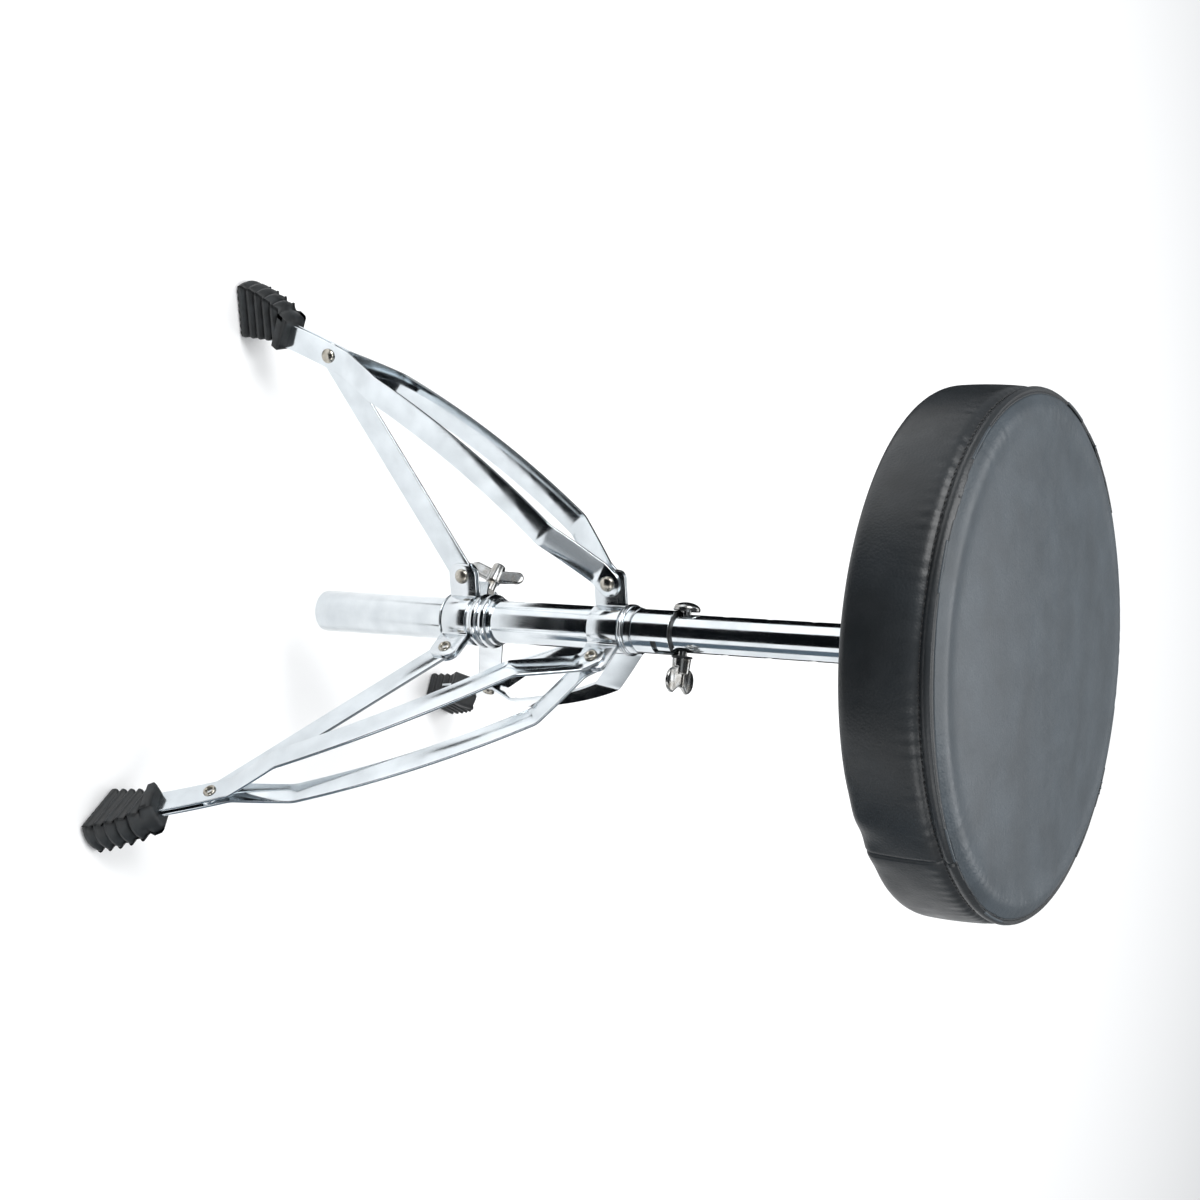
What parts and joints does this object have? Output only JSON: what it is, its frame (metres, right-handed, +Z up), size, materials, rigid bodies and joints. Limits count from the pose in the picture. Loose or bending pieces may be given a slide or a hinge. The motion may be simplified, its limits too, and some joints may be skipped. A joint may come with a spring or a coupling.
{
  "type": "drum throne",
  "caption": "Round padded seat on a height-adjustable chromed post with a folding double-braced tripod base and rubber feet.",
  "frame": {"origin": "on the post axis at floor level", "axes": "+Z up the post towards the seat, +X out along leg A, legs B and C at +120 and +240 degrees about +Z"},
  "size_m": [0.3825, 0.407, 0.574],
  "materials": {
    "chrome_tube": "polished chrome plate on steel tube",
    "chrome_pressing": "polished chrome plate on pressed steel",
    "chrome_strip": "chrome plate on flat steel strip, faint rolling marks",
    "steel_rivet": "nickel-plated steel rivet",
    "zinc_hardware": "bright zinc plate on cast and cold-formed steel",
    "black_nylon": "moulded nylon",
    "foot_rubber": "moulded rubber, semi-matt",
    "black_enamel": "black stove enamel",
    "plywood": "raw birch plywood",
    "seat_foam": "open-cell polyurethane foam",
    "seat_vinyl_top": "black grained vinyl, satin",
    "seat_vinyl_side": "black grained vinyl, satin",
    "dust_cloth": "black spun-bonded cloth",
    "staple_wire": "galvanised wire"
  },
  "bodies": {
    "post": {"outer_tube": "chrome_tube", "tube_bush": "black_nylon", "upper_bead_ring": "chrome_pressing", "upper_collar_a": "chrome_pressing", "upper_collar_b": "chrome_pressing", "upper_collar_c": "chrome_pressing", "upper_rivets": "steel_rivet"},
    "lower_collar": {"slide_sleeve": "chrome_pressing", "lower_collar_a": "chrome_pressing", "lower_collar_b": "chrome_pressing", "lower_collar_c": "chrome_pressing", "lower_rivets": "steel_rivet", "lock_bracket": "chrome_pressing", "lock_nut": "zinc_hardware"},
    "lock_bolt": {"lock_bolt": "zinc_hardware"},
    "leg_a": {"leg_a_near_strip": "chrome_strip", "leg_a_far_strip": "chrome_strip", "leg_a_rivet": "steel_rivet", "leg_a_foot": "foot_rubber"},
    "leg_b": {"leg_b_near_strip": "chrome_strip", "leg_b_far_strip": "chrome_strip", "leg_b_rivet": "steel_rivet", "leg_b_foot": "foot_rubber"},
    "leg_c": {"leg_c_near_strip": "chrome_strip", "leg_c_far_strip": "chrome_strip", "leg_c_rivet": "steel_rivet", "leg_c_foot": "foot_rubber"},
    "brace_a": {"brace_a": "chrome_strip"},
    "brace_b": {"brace_b": "chrome_strip"},
    "brace_c": {"brace_c": "chrome_strip"},
    "seat_post": {"inner_tube": "chrome_tube", "height_bolt": "zinc_hardware", "height_washer": "zinc_hardware"},
    "wing_nut": {"wing_nut": "zinc_hardware"},
    "seat": {"seat_plate": "black_enamel", "seat_socket": "black_enamel", "clamp_bolt": "zinc_hardware", "clamp_nut": "zinc_hardware", "plate_screws": "zinc_hardware", "tee_nuts": "zinc_hardware", "seat_board": "plywood", "seat_foam": "seat_foam", "seat_top_panel": "seat_vinyl_top", "seat_side_band": "seat_vinyl_side", "dust_cover": "dust_cloth", "staples": "staple_wire"}
  },
  "joints": [
    {"name": "leg_a_fold", "type": "hinge", "parent": "post", "child": "leg_a", "pos_m": [0.03, 0, 0.284], "axis": [0, 1, 0], "range_deg": [0, 33.3]},
    {"name": "leg_b_fold", "type": "hinge", "parent": "post", "child": "leg_b", "pos_m": [-0.015, 0.02598, 0.284], "axis": [-0.866, -0.5, 0], "range_deg": [0, 33.5]},
    {"name": "leg_c_fold", "type": "hinge", "parent": "post", "child": "leg_c", "pos_m": [-0.015, -0.02598, 0.284], "axis": [0.866, -0.5, 0], "range_deg": [0, 33.5]},
    {"name": "collar_slide", "type": "slide", "parent": "post", "child": "lower_collar", "axis": [0, 0, 1], "range_m": [0, 0.0333]},
    {"name": "brace_a_fold", "type": "hinge", "parent": "lower_collar", "child": "brace_a", "pos_m": [0.03, 0, 0.169], "axis": [0, 1, 0], "range_deg": [0, 54.7]},
    {"name": "brace_b_fold", "type": "hinge", "parent": "lower_collar", "child": "brace_b", "pos_m": [-0.015, 0.02598, 0.169], "axis": [-0.866, -0.5, 0], "range_deg": [0, 54.7]},
    {"name": "brace_c_fold", "type": "hinge", "parent": "lower_collar", "child": "brace_c", "pos_m": [-0.015, -0.02598, 0.169], "axis": [0.866, -0.5, 0], "range_deg": [0, 54.7]},
    {"name": "lock_bolt_turn", "type": "hinge", "parent": "lower_collar", "child": "lock_bolt", "pos_m": [0.02592, -0.02779, 0.175], "axis": [0.682, -0.7314, 0], "range_deg": [0, 360]},
    {"name": "post_height", "type": "slide", "parent": "post", "child": "seat_post", "axis": [0, 0, 1], "range_m": [0, 0.09]},
    {"name": "wing_nut_turn", "type": "hinge", "parent": "seat_post", "child": "wing_nut", "pos_m": [-0.02378, 0.00773, 0.3364], "axis": [-0.9511, 0.309, 0], "continuous": true},
    {"name": "seat_swivel", "type": "hinge", "parent": "seat_post", "child": "seat", "pos_m": [0, 0, 0.5], "axis": [0, 0, 1], "continuous": true}
  ],
  "couplings": [
    {"joint": "leg_b_fold", "follows": "leg_a_fold", "ratio": 1},
    {"joint": "leg_c_fold", "follows": "leg_a_fold", "ratio": 1},
    {"joint": "collar_slide", "follows": "leg_a_fold", "m_per_rad": 0.05672},
    {"joint": "brace_a_fold", "follows": "leg_a_fold", "ratio": 1.6296},
    {"joint": "brace_b_fold", "follows": "leg_a_fold", "ratio": 1.6296},
    {"joint": "brace_c_fold", "follows": "leg_a_fold", "ratio": 1.6296}
  ]
}
